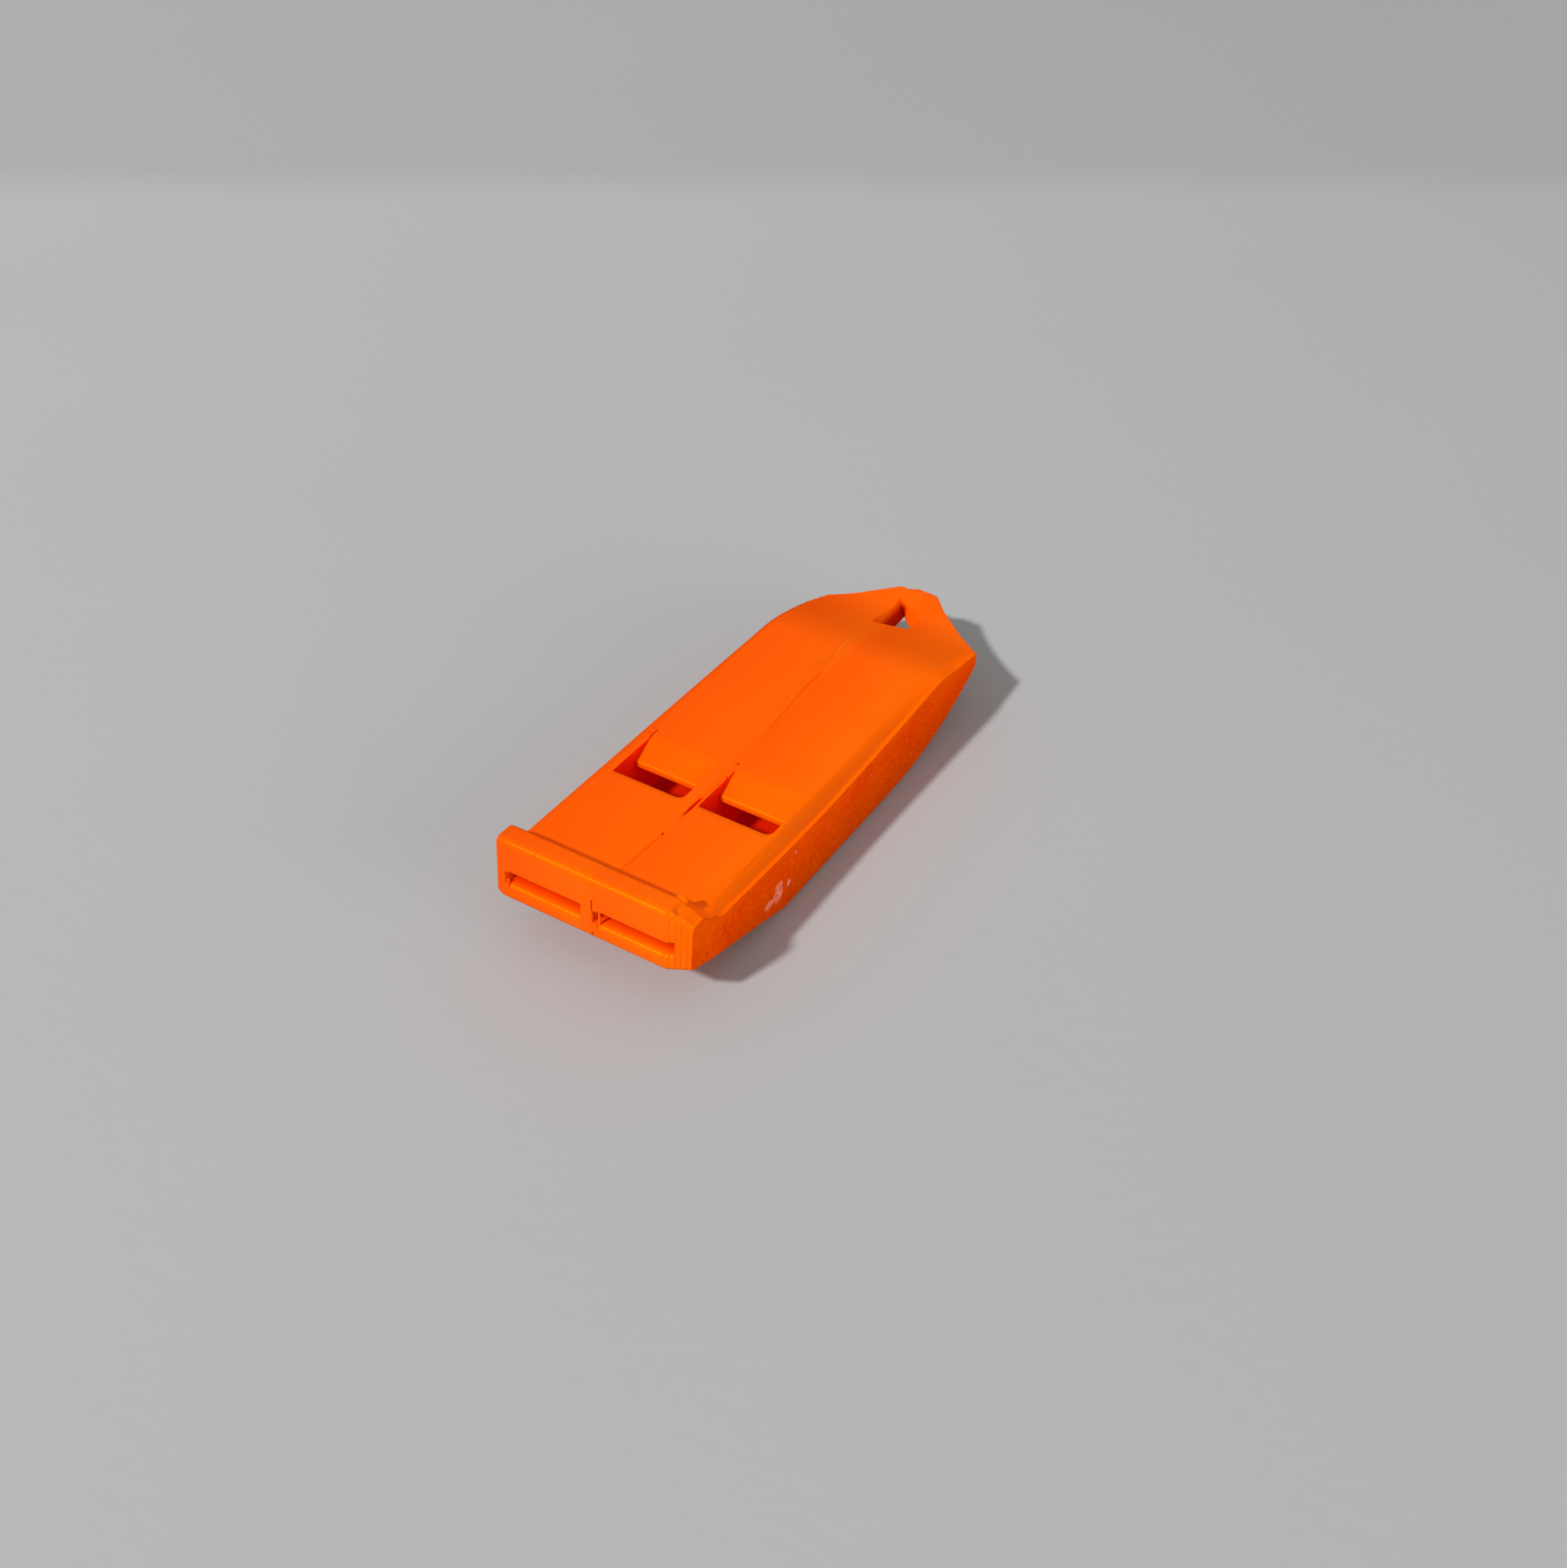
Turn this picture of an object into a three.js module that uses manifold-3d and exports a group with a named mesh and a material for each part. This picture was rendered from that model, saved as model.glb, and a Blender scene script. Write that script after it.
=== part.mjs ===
// Flat twin-chamber whistle without a pea, of the kind that is printed in plastic on its side.
// Millimetres. +X is right, +Y runs from the mouthpiece to the cord tab, +Z is up from the belly.

import * as THREE from 'three';
import { mergeVertices } from 'three/addons/utils/BufferGeometryUtils.js';
import Module from 'manifold-3d';

const wasm = await Module();
wasm.setup();

// Heights at the mouth, stacked up from the belly
const mouthBottom = 4.4;
const lowerLip = 1.4;
const windwayHeight = 1.2;
const roofThickness = 1;
const lipRise = 2;

// Lengths, one after the other from the mouth to the tip of the tab
const windwayLength = 13.85;
const windowLength = 3.1;
const labiumDeckLength = 24.35;
const rearRampLength = 8.6;
const tabLength = 5.1;

// Widths
const bodyWidth = 17;
const sideWall = 1.15;
const dividerWidth = 1.5;
const pillarWidth = 1.2;
const pillarDepth = 2;

// Bite lip and lower lip
const lipLength = 3.8;
const lipCrest = 1.9;
const lipFall = 0.2;
const lipEdgeRound = 0.5;
const lowerLipRound = 0.55;
const chinRound = 0.3;

// Labium: a blunt nose at the foot of a ramp in the deck
const labiumDrop = 1;
const noseThickness = 0.52;
const labiumRampLength = 3.4;
const deckThickness = 1.05;

// Underside: a straight wedge under the mouthpiece, a flat belly and a curve up to the tab
const wedgeLength = 15;
const bellyLength = 16;
const keelLength = 17.5;
const keelCurve = 2.6;
const floorThickness = 1.8;

// End walls of the chambers
const leftStop = 3.75;
const rightStop = 6.25;

// Tab, its plan taper and its cord hole
const tabDrop = 2;
const tabRise = 0.35;
const tabThickness = 1.8;
const taperLength = 6.1;
const tipWidth = 3.8;
const tipPoint = 0.7;
const holeWidth = 2.8;
const holeLength = 5.15;
const holeTipWall = 2.5;
const holeFrontSkew = 1;
const holeRearSkew = 1.7;
const holeRound = 0.5;

// Rounding of each side wall: its width in X, and its depth at the mouth, amidships and at the tail. The
// lower edge of the right wall is sharp under the mouth and amidships and rounds off towards the tail. Its
// upper edge ends in a narrow ledge along the outer face, which takes a share of the depth.
const leftRound = 0.8;
const leftDepthMouth = 0.55;
const leftDepthMiddle = 1.1;
const leftDepthTail = 0.45;
const rightRound = 1;
const rightDepthMouth = 0.9;
const rightDepthMiddle = 1.8;
const rightDepthTail = 0.4;
const rightUnderMouth = 0.1;
const rightUnderMiddle = 0.15;
const rightUnderTail = 0.85;
const rightLedge = 0.45;
const ledgeFall = 0.2;
const edgeMiddleAt = 20;
const edgeBulge = 1.6;
const underBulge = 2;
const edgeSteps = 8;

// Fineness of the curves, and how far a cutting prism overshoots what it cuts
const rampSteps = 6;
const keelSteps = 10;
const arcSteps = 5;
const overshoot = 1;

// Heights and stations worked out from the sizes above
const windwayFloor = mouthBottom + lowerLip;
const windwayRoof = windwayFloor + windwayHeight;
const deckHeight = windwayRoof + roofThickness;
const deckUnderside = deckHeight - deckThickness;
const lipTop = deckHeight + lipRise;
const labiumFront = windwayLength + windowLength;
const deckEnd = labiumFront + labiumDeckLength;
const rampFoot = deckEnd + rearRampLength;
const bodyLength = rampFoot + tabLength;
const bellyEnd = wedgeLength + bellyLength;
const keelEnd = bellyEnd + keelLength;
const tipShoulder = bodyLength - tipPoint;
const taperStart = tipShoulder - taperLength;
const bayOuter = bodyWidth / 2 - sideWall;
const dividerHalf = dividerWidth / 2;

// Height of the upper surface behind the bite lip
function topAt(y) {
  if (y <= rampFoot) {
    return deckHeight - tabDrop * THREE.MathUtils.smoothstep(y, deckEnd, rampFoot);
  }
  return deckHeight - tabDrop + tabRise * (y - rampFoot) / tabLength;
}

// Height of the underside
function bottomAt(y) {
  if (y < wedgeLength) {
    return mouthBottom * (1 - y / wedgeLength);
  }
  if (y <= bellyEnd) {
    return 0;
  }
  if (y < keelEnd) {
    const keelRise = topAt(keelEnd) - tabThickness;
    return keelRise * ((y - bellyEnd) / (keelEnd - bellyEnd)) ** keelCurve;
  }
  return topAt(y) - tabThickness;
}

// Even stations from one length to another, both ends included
function evenStations(from, to, count) {
  return Array.from({ length: count + 1 }, (_, i) => from + (to - from) * i / count);
}

// Points of a surface between two lengths: its two ends and those of its own stations that lie between them
function surfacePoints(heightAt, stations, from, to) {
  const inner = stations.filter((y) => y > from && y < to);
  return [from, ...inner, to].map((y) => new THREE.Vector2(y, heightAt(y)));
}

const bottomStations = [wedgeLength, ...evenStations(bellyEnd, keelEnd, keelSteps)];
const topStations = evenStations(deckEnd, rampFoot, rampSteps);

function bottomPoints(from, to) {
  return surfacePoints(bottomAt, bottomStations, from, to);
}

// The upper surface is walked from the tail towards the mouth, so that outlines run one way round
function topPoints(from, to) {
  return surfacePoints(topAt, topStations, from, to).reverse();
}

// Bite lip, from the deck behind it over the crest and down the front face
function lipPoints() {
  const lip = new THREE.Path();
  const crestHeight = lipTop - lipFall;
  const slopeRun = (lipLength - lipCrest) / 2;
  lip.moveTo(lipLength, deckHeight);
  lip.bezierCurveTo(
    lipLength - slopeRun, deckHeight, lipCrest + slopeRun, crestHeight, lipCrest, crestHeight);
  lip.lineTo(lipEdgeRound, lipTop);
  lip.quadraticCurveTo(0, lipTop, 0, lipTop - lipEdgeRound);
  return lip.getPoints(arcSteps);
}

// Rounded lower front edge of the mouthpiece, from the front face round to the wedge
function chinPoints() {
  const chin = new THREE.Path();
  chin.moveTo(0, mouthBottom + chinRound);
  chin.quadraticCurveTo(0, mouthBottom, chinRound, bottomAt(chinRound));
  return chin.getPoints(arcSteps);
}

// Outline of the whole whistle seen from the side, from the mouth to a given length, in two halves
function underOutline(to) {
  return [...chinPoints(), ...bottomPoints(chinRound, to).slice(1)];
}

function overOutline(to) {
  return [...topPoints(lipLength, to).slice(0, -1), ...lipPoints()];
}

// Depth of a side wall's rounding along its upper or lower edge
function edgeDepthAt(depths, y) {
  const towardsMouth = y < edgeMiddleAt;
  const run = towardsMouth ? edgeMiddleAt : deckEnd - edgeMiddleAt;
  const endDepth = towardsMouth ? depths.mouth : depths.tail;
  const share = Math.min(1, Math.abs(y - edgeMiddleAt) / run);
  return depths.middle + (endDepth - depths.middle) * share ** depths.bulge;
}

// Share of that depth at a step across the rounding: a round shoulder, and a ledge outside it if there is one
function edgeShareAt(edge, width, step) {
  if (edge.ledge === 0) {
    return step * step;
  }
  const shoulder = THREE.MathUtils.smoothstep(step, 0, 1 - edge.ledge / width);
  return (1 - ledgeFall) * shoulder + ledgeFall * step;
}

// A side outline drawn in by a share of that depth: up or down, and at the mouth also backwards
function drawnInOutline(to, edge, share) {
  const drawnIn = (point, depths, upwards) => {
    const back = edge.over.mouth * Math.max(0, 1 - point.x / lipLength);
    const up = edgeDepthAt(depths, point.x) * upwards;
    return new THREE.Vector2(point.x + back * share, point.y + up * share);
  };
  return [...underOutline(to).map((p) => drawnIn(p, edge.under, 1)),
    ...overOutline(to).map((p) => drawnIn(p, edge.over, -1))];
}

// A side outline, drawn in Y and Z, made into a slab between two places along X
const sideToWorld = new THREE.Matrix4().makeBasis(
  new THREE.Vector3(0, 1, 0), new THREE.Vector3(0, 0, 1), new THREE.Vector3(1, 0, 0));

function slab(outline, fromX, toX) {
  const geometry = new THREE.ExtrudeGeometry(new THREE.Shape(outline), {
    depth: toX - fromX, bevelEnabled: false, curveSegments: arcSteps });
  return geometry.translate(0, 0, fromX).applyMatrix4(sideToWorld);
}

// A closed mesh as a solid that can be cut, and back again
function toSolid(geometry) {
  const bare = geometry.clone();
  bare.deleteAttribute('normal');
  bare.deleteAttribute('uv');
  const merged = mergeVertices(bare);
  const vertProperties = merged.attributes.position.array;
  const triVerts = Uint32Array.from(merged.index.array);
  return new wasm.Manifold(new wasm.Mesh({ numProp: 3, vertProperties, triVerts }));
}

function toGeometry(solid) {
  const mesh = solid.getMesh();
  const geometry = new THREE.BufferGeometry();
  geometry.setAttribute('position', new THREE.BufferAttribute(mesh.vertProperties, 3));
  geometry.setIndex(new THREE.BufferAttribute(mesh.triVerts, 1));
  geometry.computeVertexNormals();
  return geometry;
}

// Plan of the tapered tail, extruded through the full height, with the cord hole where it is asked for
function tailPlan(withHole) {
  const halfWidth = bodyWidth / 2;
  const tipHalf = tipWidth / 2;
  const slope = taperLength / (halfWidth - tipHalf);
  const wide = halfWidth + overshoot;
  const wideY = taperStart - overshoot * slope;
  const plan = new THREE.Shape();
  plan.moveTo(-wide, -overshoot);
  plan.lineTo(wide, -overshoot);
  plan.lineTo(wide, wideY);
  plan.lineTo(tipHalf, tipShoulder);
  plan.lineTo(0, bodyLength);
  plan.lineTo(-tipHalf, tipShoulder);
  plan.lineTo(-wide, wideY);
  if (withHole) {
    plan.holes.push(cordHole());
  }
  const height = lipTop + 2 * overshoot;
  const prism = new THREE.ExtrudeGeometry(plan, {
    depth: height, bevelEnabled: false, curveSegments: arcSteps });
  return toSolid(prism.translate(0, 0, -overshoot));
}

// Cord hole: four-cornered, longer on the left, with rounded rear corners, a wall away from the tip
function cordHole() {
  const half = holeWidth / 2;
  const leftRear = bodyLength - holeTipWall;
  const rightRear = leftRear - holeRearSkew;
  const leftFront = leftRear - holeLength;
  const rightFront = leftFront + holeFrontSkew;
  const rearSlope = (leftRear - rightRear) / holeWidth;
  const hole = new THREE.Path();
  hole.moveTo(-half, leftFront);
  hole.lineTo(-half, leftRear - holeRound);
  hole.quadraticCurveTo(-half, leftRear, -half + holeRound, leftRear - rearSlope * holeRound);
  hole.lineTo(half - holeRound, rightRear + rearSlope * holeRound);
  hole.quadraticCurveTo(half, rightRear, half, rightRear - holeRound);
  hole.lineTo(half, rightFront);
  hole.closePath();
  return hole;
}

// Skin over a row of like outlines that stand at growing X, closed at both ends
function loft(rings) {
  const count = rings[0].outline.length;
  const positions = rings.flatMap(({ x, outline }) => outline.flatMap((p) => [x, p.x, p.y]));
  const index = [];
  for (let r = 0; r < rings.length - 1; r += 1) {
    for (let i = 0; i < count; i += 1) {
      const a = r * count + i;
      const b = r * count + (i + 1) % count;
      index.push(a, b, b + count, a, b + count, a + count);
    }
  }
  const firstCap = THREE.ShapeUtils.triangulateShape(rings[0].outline, []);
  const lastCap = THREE.ShapeUtils.triangulateShape(rings.at(-1).outline, []);
  const lastStart = (rings.length - 1) * count;
  firstCap.forEach(([a, b, c]) => index.push(a, c, b));
  lastCap.forEach(([a, b, c]) => index.push(lastStart + a, lastStart + b, lastStart + c));
  const geometry = new THREE.BufferGeometry();
  geometry.setAttribute('position', new THREE.Float32BufferAttribute(positions, 3));
  geometry.setIndex(index);
  return geometry;
}

// Side wall: full outline against the bays, drawn in step by step towards its outer face. The rounding takes
// no more than the wall's own width.
function sideWallGeometry(side, edge) {
  const end = bodyLength + overshoot;
  const width = Math.min(edge.width, sideWall);
  const roundStart = bodyWidth / 2 - width;
  const rings = evenStations(0, 1, edgeSteps).map((step) => ({
    x: side * (roundStart + width * step),
    outline: drawnInOutline(end, edge, edgeShareAt(edge, width, step)) }));
  if (roundStart > bayOuter) {
    rings.unshift({ x: side * bayOuter, outline: drawnInOutline(end, edge, 0) });
  }
  if (side < 0) {
    rings.reverse();
  }
  return toGeometry(toSolid(loft(rings)).intersect(tailPlan(false)));
}

// Divider between the two bays, thinned at the mouth to a pillar between the windway slots
function dividerGeometry() {
  let divider = toSolid(slab([...underOutline(deckEnd), ...overOutline(deckEnd)], -dividerHalf, dividerHalf));
  const reliefWidth = (dividerWidth - pillarWidth) / 2 + overshoot;
  const reliefAt = pillarWidth / 2 + reliefWidth / 2;
  for (const side of [-1, 1]) {
    const relief = new THREE.BoxGeometry(reliefWidth, pillarDepth + overshoot, windwayHeight);
    relief.translate(side * reliefAt, (pillarDepth - overshoot) / 2, windwayFloor + windwayHeight / 2);
    divider = divider.subtract(toSolid(relief));
  }
  return toGeometry(divider);
}

function tailGeometry() {
  const end = bodyLength + overshoot;
  const profile = [...bottomPoints(deckEnd, end), ...topPoints(deckEnd, end)];
  return toGeometry(toSolid(slab(profile, -bayOuter, bayOuter)).intersect(tailPlan(true)));
}

// Outlines of the pieces that fill a bay, all drawn from the side
function roofOutline() {
  return [new THREE.Vector2(0, windwayRoof), new THREE.Vector2(windwayLength, windwayRoof),
    new THREE.Vector2(windwayLength, deckHeight), ...lipPoints()];
}

function blockOutline() {
  const lip = new THREE.Path();
  lip.moveTo(lowerLipRound, windwayFloor);
  lip.quadraticCurveTo(0, windwayFloor, 0, windwayFloor - lowerLipRound);
  return [...chinPoints(), ...bottomPoints(chinRound, windwayLength).slice(1),
    new THREE.Vector2(windwayLength, windwayFloor), ...lip.getPoints(arcSteps)];
}

function labiumOutline() {
  const noseRadius = noseThickness / 2;
  const noseHeight = deckHeight - labiumDrop - noseRadius;
  const rampTop = labiumFront + labiumRampLength;
  const nose = new THREE.Path();
  nose.absarc(labiumFront + noseRadius, noseHeight, noseRadius, Math.PI / 2, 3 * Math.PI / 2, false);
  return [...nose.getPoints(arcSteps), new THREE.Vector2(rampTop, deckUnderside),
    new THREE.Vector2(deckEnd, deckUnderside), new THREE.Vector2(deckEnd, deckHeight),
    new THREE.Vector2(rampTop, deckHeight)];
}

function floorOutline(stop) {
  const end = deckEnd - stop;
  return [...bottomPoints(windwayLength, end), new THREE.Vector2(end, bottomAt(end) + floorThickness),
    ...bottomPoints(windwayLength, end).slice(1, -1).reverse().map((p) => p.setY(p.y + floorThickness)),
    new THREE.Vector2(windwayLength, bottomAt(windwayLength) + floorThickness)];
}

function stopOutline(stop) {
  return [...bottomPoints(deckEnd - stop, deckEnd), new THREE.Vector2(deckEnd, deckUnderside),
    new THREE.Vector2(deckEnd - stop, deckUnderside)];
}

// Scene graph, with the origin under the middle of the whistle
const whistle = new THREE.Group();
whistle.position.y = -bodyLength / 2;

function addPiece(name, geometry, color, roughness) {
  const material = new THREE.MeshStandardMaterial({ color, roughness, metalness: 0 });
  const mesh = new THREE.Mesh(geometry, material);
  mesh.name = name;
  whistle.add(mesh);
}

const printedOrange = 0xff6200;
const insideOrange = 0xd94a00;
const printedRoughness = 0.45;
const bedRoughness = 0.6;

const leftDepths = {
  mouth: leftDepthMouth, middle: leftDepthMiddle, tail: leftDepthTail, bulge: edgeBulge };
const rightDepths = {
  mouth: rightDepthMouth, middle: rightDepthMiddle, tail: rightDepthTail, bulge: edgeBulge };
const rightUnderDepths = {
  mouth: rightUnderMouth, middle: rightUnderMiddle, tail: rightUnderTail, bulge: underBulge };
const leftEdge = { width: leftRound, ledge: 0, over: leftDepths, under: leftDepths };
const rightEdge = { width: rightRound, ledge: rightLedge, over: rightDepths, under: rightUnderDepths };
addPiece('left_side_wall', sideWallGeometry(-1, leftEdge), printedOrange, printedRoughness);
addPiece('right_side_wall', sideWallGeometry(1, rightEdge), printedOrange, bedRoughness);
addPiece('centre_divider', dividerGeometry(), printedOrange, printedRoughness);
addPiece('tail_tab', tailGeometry(), printedOrange, printedRoughness);

const bays = [
  { side: 'left', fromX: -bayOuter, toX: -dividerHalf, stop: leftStop },
  { side: 'right', fromX: dividerHalf, toX: bayOuter, stop: rightStop },
];
for (const { side, fromX, toX, stop } of bays) {
  addPiece(`${side}_windway_roof`, slab(roofOutline(), fromX, toX), printedOrange, printedRoughness);
  addPiece(`${side}_windway_block`, slab(blockOutline(), fromX, toX), printedOrange, printedRoughness);
  addPiece(`${side}_labium_deck`, slab(labiumOutline(), fromX, toX), printedOrange, printedRoughness);
  addPiece(`${side}_chamber_floor`, slab(floorOutline(stop), fromX, toX), insideOrange, printedRoughness);
  addPiece(`${side}_chamber_stop`, slab(stopOutline(stop), fromX, toX), insideOrange, printedRoughness);
}

export default whistle;
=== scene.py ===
"""Flat twin-chamber whistle, printed in orange plastic on its side, in thin layers that stack along X.

Each piece is one printed layer, shaped from the side, and then stacked. Pieces are modelled in millimetres with
y measured from the mouth, and brought to metres and to the frame's origin when they are finished.
"""
import math
import random

import bmesh
import bpy
from mathutils import Matrix, Vector


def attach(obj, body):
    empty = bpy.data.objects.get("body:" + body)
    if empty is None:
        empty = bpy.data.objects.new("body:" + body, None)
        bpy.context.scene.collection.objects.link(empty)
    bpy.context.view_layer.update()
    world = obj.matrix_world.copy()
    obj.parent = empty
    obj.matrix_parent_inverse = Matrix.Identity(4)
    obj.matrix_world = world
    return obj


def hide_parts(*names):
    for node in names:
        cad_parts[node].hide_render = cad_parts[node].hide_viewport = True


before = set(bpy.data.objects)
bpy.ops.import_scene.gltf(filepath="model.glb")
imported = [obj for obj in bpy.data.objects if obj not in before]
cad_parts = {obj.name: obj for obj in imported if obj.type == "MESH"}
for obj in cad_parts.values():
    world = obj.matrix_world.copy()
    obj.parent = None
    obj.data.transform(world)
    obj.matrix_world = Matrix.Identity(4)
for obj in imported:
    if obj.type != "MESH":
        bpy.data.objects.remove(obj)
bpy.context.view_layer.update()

MM = 0.001

# Heights above the belly
MOUTH_BOTTOM = 4.4
WINDWAY_FLOOR = 5.8
WINDWAY_ROOF = 7.0
DECK = 8.0
DECK_UNDERSIDE = 6.95
LIP_TOP = 10.0
LIP_FALL = 0.02
NOSE_TOP = 7.0
NOSE_BOTTOM = 6.48
FLOOR_THICKNESS = 2.6

# Stations along the whistle, from the mouth
LIP_EDGE = 0.5
LIP_CREST = 1.9
LIP_LENGTH = 3.8
PILLAR_DEPTH = 2.0
WINDWAY_END = 13.85
WEDGE_END = 15.0
LABIUM_FRONT = 16.95
LABIUM_TOP = 19.5
LABIUM_DECK_START = 21.6
EDGE_MIDDLE = 20.0
BELLY_END = 31.0
RAMP_START = 39.5
DECK_END = 41.3
KEEL_END = 48.5
RAMP_FOOT = 51.3
LENGTH = 55.0
LEFT_STOP = 3.75
RIGHT_STOP = 6.25

# Widths
HALF_WIDTH = 8.5
BAY_OUTER = 7.35
DIVIDER_HALF = 0.75

# Radii of the edges that run across the layers, and of the windows' corners
LIP_CREST_ROUND = 0.18
LIP_FOOT_ROUND = 0.35
MOUTH_BOTTOM_ROUND = 0.3
SLOT_ROOF_ROUND = 0.2
LOWER_LIP_ROUND = 0.55
WINDOW_TOP_ROUND = 0.1
WINDOW_BOTTOM_ROUND = 0.15
NOSE_TOP_ROUND = 0.22
NOSE_BOTTOM_ROUND = 0.06
LABIUM_TOP_ROUND = 0.5
TAB_TOP_ROUND = 0.18
TAB_BOTTOM_ROUND = 0.25
WINDOW_CORNER = 0.7
NOSE_CORNER = 0.2

# Tab, where its plan ends as points (y, x)
TAB_DROP = 2.0
TAB_RISE = 0.35
TAB_THICKNESS = 1.8
KEEL_CURVE = 2.6
TAPER_RUN = 1.2
TAIL_PLAN = [(44.2, -8.5), (46.6, -8.05), (49.3, -7.5), (50.25, -6.67), (54.57, -2.39), (54.52, -1.6), (55.0, -0.78),
             (54.87, 1.22), (53.2, 2.72), (48.25, 8.5)]

# Cord hole: its corners in plan, the heights at which its wall is cut, and how its wall departs from upright
HOLE_HALF = 1.4
HOLE_MIDDLE = 50.0
HOLE_LEFT_FRONT, HOLE_RIGHT_FRONT = 47.35, 48.35
HOLE_LEFT_REAR, HOLE_RIGHT_REAR = 52.9, 50.8
HOLE_LOW, HOLE_HIGH = 3.0, 8.0
HOLE_LEVELS = (4.3, 4.9, 5.4, 5.75, 6.0, 6.3)
HOLE_LAYERS = 14
HOLE_LEFT_CORNER, HOLE_RIGHT_CORNER = 0.15, 0.35
HOLE_RIM_HEIGHTS = (5.6, 6.4)
HOLE_RIM, HOLE_RIM_LEFT, HOLE_RIM_RIGHT = 0.25, 0.3, 0.15
HOLE_BULGE, HOLE_SAG = 0.35, 0.45

# Rounded edges of the side walls: depths at the mouth, amidships and at the tail, and the bulge between them
LEFT_ROUND, RIGHT_ROUND = 0.8, 1.0
LEFT_DEPTHS = (0.16, 0.28, 0.48, 1.6)
RIGHT_DEPTHS = (0.9, 1.65, 0.45, 1.6)
RIGHT_UNDER_DEPTHS = (0.0, 0.5, 0.6, 2.0)
RIGHT_LEDGE, LEDGE_FALL, RIGHT_CURVE = 0.26, 0.2, 1.5
RIGHT_FADE = (43.5, 48.2)
FILLET_HEIGHT, FILLET_AT, FILLET_HALF = 0.4, 3.9, 1.4
LEFT_HOLD, RIGHT_HOLD = 0.35, 0.25

# Printed layers
GROOVE, WALL_GROOVE, HOLE_GROOVE = 0.009, 0.012, 0.01
BEAD_GROOVE = 0.014
UNEVEN_DEPTH, UNEVEN_BIAS = 0.006, 1.5
WALL_LAYERS = 6
BAY_LAYERS = 33
DIVIDER_LAYERS = 8
TAIL_LAYERS = 74
WALL_PITCH = (HALF_WIDTH - BAY_OUTER) / WALL_LAYERS
BAY_PITCH = (BAY_OUTER - DIVIDER_HALF) / BAY_LAYERS
DIVIDER_PITCH = 2 * DIVIDER_HALF / DIVIDER_LAYERS
TAIL_PITCH = 2 * BAY_OUTER / TAIL_LAYERS

# Creases in the deck as points (x, y), with their depths and half widths; the rear one is a step
FRONT_CREASE = [(0.06, 4.2), (0.21, 6.6), (0.33, 9.4)]
FRONT_CREASE_DEPTH, FRONT_CREASE_HALF = 0.15, 0.17
SHORT_CREASE = [(0.38, 12.6), (0.41, 14.5), (0.5, 16.6), (0.55, 17.8)]
SHORT_CREASE_DEPTHS, SHORT_CREASE_HALF = (0.45, 0.08), 0.16
REAR_CREASE = [(0.0, 25.7), (-0.17, 28.4), (-0.5, 32.5), (-0.56, 35.7), (-0.75, 38.6), (-0.84, 40.0),
               (-1.15, 42.4), (-1.33, 44.3), (-1.26, 46.6), (-1.3, 47.4)]
REAR_STEP_RISES, REAR_STEP_WIDTH = (0.13, -0.08), 0.16
REAR_STEP_LEFT, REAR_STEP_RIGHT = 1.4, 1.0

# Pits in the deck as points (x, y), and slits in the right edge as x and the y where they start and end
LEFT_PITS = [(-7.75, 20.5), (-7.82, 18.87), (-7.73, 19.79)]
LEFT_PIT_SIZES = (0.09, 0.14, 0.25)
MIDDLE_PITS = [(0.35, 9.45), (0.7, 18.3), (0.53, 20.27)]
MIDDLE_PIT_SIZES = (0.14, 0.18, 0.3)
SLITS = [(BAY_OUTER + 4 * WALL_PITCH, 23.2, 25.8), (BAY_OUTER + 4 * WALL_PITCH, 29.5, 35.5),
         (BAY_OUTER + 2 * WALL_PITCH, 9.5, 11.5), (BAY_OUTER + 3 * WALL_PITCH, 11.0, 14.2)]
SLIT_DEPTH, SLIT_HALF = 0.1, 0.05

# Right front corner: it is drawn back from CORNER_FROM to the outer face, in ridges of two layers each
CORNER_FROM = 6.75
CORNER_BACK = 0.95
RIDGE_WIDTH = 2 * BAY_PITCH
RIDGE_DEPTH = 0.05
GLINT_SIZES = (0.08, 0.07, 0.08)
DENT_PLACE, DENT_DEPTH, DENT_RADIUS = (7.1, 0.95), 0.3, 0.3
BLOB_PLACE, BLOB_SIZES = (6.68, 2.25, 9.62), (0.5, 0.4, 0.36)

# Drops in the slots: a bead at the left end of the left one, and a thread at the left end of the right one
BEAD_PLACE, BEAD_SIZES = (-7.55, 0.22, 5.95), (0.15, 0.17, 0.28)
STRAND_PLACE, STRAND_RADIUS, STRAND_LENGTH = (0.83, 0.2, 6.27), 0.1, 1.55

NEAR = 1e-3
FACING = 0.9
SMOOTH_ANGLE = 42


def even(start, end, count):
    """Stations between two lengths, the first included and the last not."""
    return [start + (end - start) * i / count for i in range(count)]


LIP_STATIONS = [0.72, 0.92]
NOSE_STATIONS = [17.5, 18.0, 18.5]
STATIONS = (
    LIP_STATIONS
    + [LIP_CREST]
    + even(LIP_LENGTH, WINDWAY_END, 16)
    + even(WINDWAY_END, LABIUM_FRONT, 4)
    + [WEDGE_END]
    + even(LABIUM_FRONT, LABIUM_TOP, 5)
    + even(LABIUM_TOP, BELLY_END, 15)
    + even(BELLY_END, DECK_END, 14)
    + even(DECK_END, KEEL_END, 12)
    + even(KEEL_END, RAMP_FOOT, 5)
    + even(RAMP_FOOT, LENGTH, 5)
)


def smooth(low, high, value):
    """0 below low, 1 above high, and a smooth rise between them."""
    t = min(1.0, max(0.0, (value - low) / (high - low)))
    return t * t * (3 - 2 * t)


def mix(a, b, t):
    return a + (b - a) * t


def bump_at(value, centre, width):
    """A smooth hump that is 1 at centre and 0 beyond width."""
    return 1 - smooth(0, width, abs(value - centre))


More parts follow.
